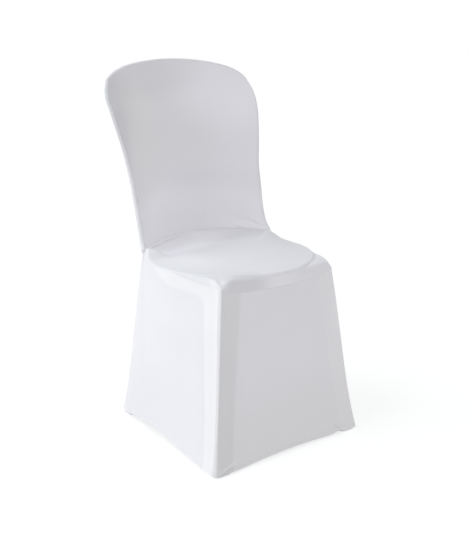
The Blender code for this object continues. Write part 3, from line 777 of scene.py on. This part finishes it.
def cloth_sheet(name, grids, seams, material, hem=None, spots=()):
    """One cut piece as a thin sheet: its grids, moved along their normals by the relief.

    The relief is the sum of the creases, the seams, each -depth exp(-(d / width)^2), and the hem.
    """
    mesh = welded_mesh(name, grids)
    place = np.empty(len(mesh.vertices) * 3)
    normal = np.empty(len(mesh.vertices) * 3)
    mesh.vertices.foreach_get("co", place)
    mesh.vertex_normals.foreach_get("vector", normal)
    place, normal = place.reshape(-1, 3), normal.reshape(-1, 3)
    if spots:
        place = soften(mesh, place, spots, seams)
        mesh.vertices.foreach_set("co", place.ravel())
        mesh.update()
        mesh.vertex_normals.foreach_get("vector", normal.reshape(-1))
    # The painted light and shade, kept as a colour attribute that the knit's material multiplies in.
    painted_shading = painted_shading_at(name, place, seams)
    colour = mesh.attributes.new("painted_shading", "FLOAT_COLOR", "POINT")
    colour.data.foreach_set("color", np.hstack([painted_shading, np.ones((len(painted_shading), 1))]).ravel())
    relief = crease_relief(name, place) * bpy.context.scene.cover_sizes.fold_depth
    for seam in seams:
        relief -= seam.depth * seam_share(place, seam)
    if hem is not None:
        relief += hem_relief(place, hem)
    mesh.vertices.foreach_set("co", in_frame(place + normal * relief[:, None]).ravel())
    mesh.shade_smooth()
    mesh.update()
    mesh.materials.append(material)
    piece = bpy.data.objects.new(name + "_cloth", mesh)
    bpy.context.scene.collection.objects.link(piece)
    give_thickness(piece)
    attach(piece, "root")
    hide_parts(name)
    return piece


def linear(code):
    """An sRGB hex colour as linear red, green, blue and 1."""
    values = np.array([int(code[k : k + 2], 16) / 255 for k in (1, 3, 5)])
    low, high = values / 12.92, ((values + 0.055) / 1.055) ** 2.4
    return (*np.where(values <= 0.04045, low, high), 1.0)


def add_node(tree, kind, settings=None, links=None):
    """Adds a node. settings: attribute, or input name or number, to value. links: input to socket."""
    node = tree.nodes.new(kind)
    for key, value in (settings or {}).items():
        if isinstance(key, str) and hasattr(node, key):
            setattr(node, key, value)
        else:
            node.inputs[key].default_value = value
    for key, socket in (links or {}).items():
        tree.links.new(socket, node.inputs[key])
    return node


def knit_material(name, colour):
    """White warp-knit polyester with elastane, brushed and optic white.

    To the eye: matt and even, a fine rib of loops close by, a faint fuzz at glancing angles, and
    soft lighter and darker places, which are painted light and shade from the sheet's colour
    attribute.
    """
    material = bpy.data.materials.new(name)
    material.use_nodes = True
    tree = material.node_tree
    tree.nodes.clear()
    white = linear(colour)
    uv = add_node(tree, "ShaderNodeUVMap", {"uv_map": "cloth"}).outputs["UV"]
    place = add_node(tree, "ShaderNodeTexCoord").outputs["Object"]
    wales, courses = (
        add_node(
            tree, "ShaderNodeTexWave",
            {"wave_type": "BANDS", "bands_direction": axis, "Scale": scale, "Distortion": YARN_WANDER},
            {"Vector": uv},
        ).outputs["Fac"]
        for axis, scale in (("X", WALE_SCALE), ("Y", COURSE_SCALE))
    )
    loops = add_node(tree, "ShaderNodeMath", {"operation": "MULTIPLY"}, {0: wales, 1: courses})
    bump = add_node(
        tree, "ShaderNodeBump",
        {"Strength": LOOP_BUMP, "Distance": LOOP_DEPTH}, {"Height": loops.outputs[0]},
    )
    clouds = add_node(
        tree, "ShaderNodeTexNoise", {"Scale": CLOUD_SCALE, "Detail": 3.0}, {"Vector": place}
    )
    dark = [channel * CLOUD_DARK for channel in white[:3]] + [1.0]
    clouded = add_node(
        tree, "ShaderNodeMix",
        {"data_type": "RGBA", "blend_type": "MIX", 6: dark, 7: white}, {0: clouds.outputs["Fac"]},
    )
    # Painted light and shade: the sheet's colour attribute multiplies the knit's colour.
    painted_shading = add_node(tree, "ShaderNodeAttribute", {"attribute_name": "painted_shading"})
    knit_with_painted_shading = add_node(
        tree, "ShaderNodeMix",
        {"data_type": "RGBA", "blend_type": "MULTIPLY", 0: 1.0},
        {6: clouded.outputs[2], 7: painted_shading.outputs["Color"]},
    )
    shader = add_node(
        tree, "ShaderNodeBsdfPrincipled",
        {"Roughness": 0.85, "Sheen Weight": 0.15, "Sheen Roughness": 0.5, "IOR": 1.45},
        {"Base Color": knit_with_painted_shading.outputs[2], "Normal": bump.outputs["Normal"]},
    )
    add_node(tree, "ShaderNodeOutputMaterial", None, {"Surface": shader.outputs["BSDF"]})
    return material


class CoverSizes(bpy.types.PropertyGroup):
    """Sizes of the cloth."""

    cloth_thickness: bpy.props.FloatProperty(
        name="Cloth thickness", description="Thickness of the stretched knit",
        default=1.2 * MM, min=0.2 * MM, max=3 * MM, unit="LENGTH",
    )
    fold_depth: bpy.props.FloatProperty(
        name="Fold depth", description="Depth of the creases, as a share of the drawn one",
        default=1.0, min=0.0, max=2.0, subtype="FACTOR",
    )


class CoverColours(bpy.types.PropertyGroup):
    """Colours of the cloth and the stage."""

    knit: bpy.props.StringProperty(
        name="Knit", description="Colour of the knit, as an sRGB hex code", default="#EDEAEF",
    )
    pocket: bpy.props.StringProperty(
        name="Foot pockets", description="Colour of the foot pockets", default="#DFE0E4",
    )
    floor: bpy.props.StringProperty(
        name="Floor", description="Colour of the floor", default="#B4B4B4",
    )


def shared_material(name, colour):
    """The knit of that name, made once."""
    return bpy.data.materials.get(name) or knit_material(name, colour)


def closed(rows):
    """A grid with its first column repeated at its end."""
    return np.concatenate([rows, rows[:, :1]], axis=1)


def front_seam(top):
    """The sewn line under the seat's front, which the pull of the cloth opens to a thin line."""
    last = index_of(RIM_STATION)
    # Its gain below 1 is a painted shade along the seam line.
    return Seam(np.roll(top, last, axis=0)[: 2 * last + 1], 0.3, 1.4, 0.96)


def rim_seam(front):
    """The sewn line round the front of the back, drawn tight and hardly to be seen."""
    # Its gain below 1 is a painted shade along the seam line.
    return Seam(round_edge(front), 0.08, 1.3, 0.98)


class COVER_OT_seat(bpy.types.Operator):
    """Makes the round seat top with the drop over its front edge"""

    bl_idname = "cover.seat"
    bl_label = "Seat"

    def execute(self, context):
        front, top = front_of_back(), closed_loop(lambda s: s.top)
        rings = seat_rings(front, top)
        seams = [front_seam(top)]
        knit = shared_material(KNIT, context.scene.cover_colours.knit)
        grids = [closed(rings), apron_rows(rings[-1], top)]
        seat = cloth_sheet("seat", grids, seams, knit, spots=SOFT_CORNERS)
        return {"FINISHED"}


class COVER_OT_back_front(bpy.types.Operator):
    """Makes the front panel of the back"""

    bl_idname = "cover.back_front"
    bl_label = "Front of the back"

    def execute(self, context):
        front = front_of_back()
        seams = [rim_seam(front)]
        knit = shared_material(KNIT, context.scene.cover_colours.knit)
        panel = cloth_sheet("back_front", [front], seams, knit)
        return {"FINISHED"}


class COVER_OT_back_rear(bpy.types.Operator):
    """Makes the rear panel of the back, with the rim that it wraps"""

    bl_idname = "cover.back_rear"
    bl_label = "Rear of the back"

    def execute(self, context):
        front, top = front_of_back(), closed_loop(lambda s: s.top)
        rim, rear = rim_of_back(front), rear_of_back(front)
        foot = foot_of_rear(rear, rim, top)
        knit = shared_material(KNIT, context.scene.cover_colours.knit)
        low = front[: 3 * SECTION_ROWS]
        # Gains below 1 are painted shade along the seams. The two lines with no depth and gain 1.12
        # are a painted highlight up the lower side edges of the back.
        seams = [
            rim_seam(front), Seam(foot[-1][10:-10], 0.3, 1.4, 0.97),
            Seam(low[:, 0], 0.0, 5.0, 1.12), Seam(low[:, -1], 0.0, 5.0, 1.12),
        ]
        panel = cloth_sheet("back_rear", [rim, rear, foot], seams, knit)
        return {"FINISHED"}


class COVER_OT_skirt(bpy.types.Operator):
    """Makes the four-sided skirt with its arched hem"""

    bl_idname = "cover.skirt"
    bl_label = "Skirt"

    def execute(self, context):
        rows = closed(skirt_rows())
        knit = shared_material(KNIT, context.scene.cover_colours.knit)
        skirt = cloth_sheet("skirt", [rows], [front_seam(rows[0, :-1])], knit, hem=rows[-1])
        return {"FINISHED"}


class COVER_OT_foot_pockets(bpy.types.Operator):
    """Makes the four small cups inside the corners of the hem"""

    bl_idname = "cover.foot_pockets"
    bl_label = "Foot pockets"

    def execute(self, context):
        knit = shared_material(POCKET_KNIT, context.scene.cover_colours.pocket)
        for end, end_name in ((-1, "front"), (1, "rear")):
            for side, side_name in ((-1, "left"), (1, "right")):
                name = f"foot_pocket_{end_name}_{side_name}"
                pocket = cloth_sheet(name, [pocket_rings(side, end)], [], knit)
        return {"FINISHED"}


def make_floor(colour):
    """A wide plain floor that glows a little, so that it reads as a studio's white ground."""
    r = FLOOR_REACH
    mesh = bpy.data.meshes.new("floor")
    mesh.from_pydata([(-r, -r, 0), (r, -r, 0), (r, r, 0), (-r, r, 0)], [], [(0, 1, 2, 3)])
    floor = bpy.data.objects.new("floor", mesh)
    bpy.context.scene.collection.objects.link(floor)
    material = bpy.data.materials.new("matt_white_floor")
    material.use_nodes = True
    shader = material.node_tree.nodes["Principled BSDF"]
    shader.inputs["Base Color"].default_value = linear(colour)
    shader.inputs["Roughness"].default_value = 1.0
    shader.inputs["Emission Color"].default_value = (1, 1, 1, 1)
    shader.inputs["Emission Strength"].default_value = FLOOR_GLOW
    mesh.materials.append(material)


def make_world():
    """A soft white world, faint as a light and white where it is seen."""
    world = bpy.data.worlds.new("soft white studio")
    world.use_nodes = True
    tree = world.node_tree
    seen = add_node(tree, "ShaderNodeLightPath").outputs["Is Camera Ray"]
    strength = add_node(
        tree, "ShaderNodeMapRange", {"To Min": WORLD_LIGHT, "To Max": WORLD_SEEN}, {"Value": seen}
    )
    background = tree.nodes["Background"]
    background.inputs["Color"].default_value = (1, 1, 1, 1)
    tree.links.new(strength.outputs["Result"], background.inputs["Strength"])
    bpy.context.scene.world = world


def make_lights():
    """Wide soft suns, each with its direction, strength and colour."""
    for name, towards, strength, colour in LIGHTS:
        light = bpy.data.lights.new(name, "SUN")
        light.energy = strength
        light.color = colour
        light.angle = LIGHT_SPREAD
        lamp = bpy.data.objects.new(name, light)
        bpy.context.scene.collection.objects.link(lamp)
        lamp.rotation_euler = Vector(towards).to_track_quat("Z", "Y").to_euler()


def make_camera():
    """The camera, in front of the cover and to its left, looking down a little."""
    camera = bpy.data.cameras.new("camera")
    camera.sensor_width = SENSOR
    camera.lens = CAMERA_FOCAL * SENSOR / PICTURE_HEIGHT
    eye = bpy.data.objects.new("camera", camera)
    bpy.context.scene.collection.objects.link(eye)
    eye.location = in_frame(CAMERA_PLACE)
    eye.rotation_euler = (math.pi / 2 - CAMERA_PITCH, 0.0, -CAMERA_HEADING)
    bpy.context.scene.camera = eye


class COVER_OT_stage(bpy.types.Operator):
    """Makes the floor, the lights and the camera"""

    bl_idname = "cover.stage"
    bl_label = "Stage"

    def execute(self, context):
        make_floor(context.scene.cover_colours.floor)
        make_world()
        make_lights()
        make_camera()
        context.scene.view_settings.view_transform = "Standard"
        return {"FINISHED"}


class COVER_PT_panel(bpy.types.Panel):
    """Lists the pieces of the cover"""

    bl_idname = "COVER_PT_panel"
    bl_label = "Stretch chair cover"
    bl_space_type = "VIEW_3D"
    bl_region_type = "UI"
    bl_category = "Cover"

    def draw(self, context):
        layout = self.layout
        sizes, colours = context.scene.cover_sizes, context.scene.cover_colours
        for name in ("cloth_thickness", "fold_depth"):
            layout.prop(sizes, name)
        for name in ("knit", "pocket", "floor"):
            layout.prop(colours, name)
        for operator in OPERATORS:
            layout.operator(operator.bl_idname)


OPERATORS = (
    COVER_OT_seat, COVER_OT_back_front, COVER_OT_back_rear, COVER_OT_skirt, COVER_OT_foot_pockets,
    COVER_OT_stage,
)
CLASSES = (CoverSizes, CoverColours, *OPERATORS, COVER_PT_panel)


def register():
    for cls in CLASSES:
        bpy.utils.register_class(cls)
    bpy.types.Scene.cover_sizes = bpy.props.PointerProperty(type=CoverSizes)
    bpy.types.Scene.cover_colours = bpy.props.PointerProperty(type=CoverColours)


def unregister():
    del bpy.types.Scene.cover_colours
    del bpy.types.Scene.cover_sizes
    for cls in reversed(CLASSES):
        bpy.utils.unregister_class(cls)


def main():
    register()
    bpy.ops.cover.seat()
    bpy.ops.cover.back_front()
    bpy.ops.cover.back_rear()
    bpy.ops.cover.skirt()
    bpy.ops.cover.foot_pockets()
    bpy.ops.cover.stage()


if __name__ == "__main__":
    main()
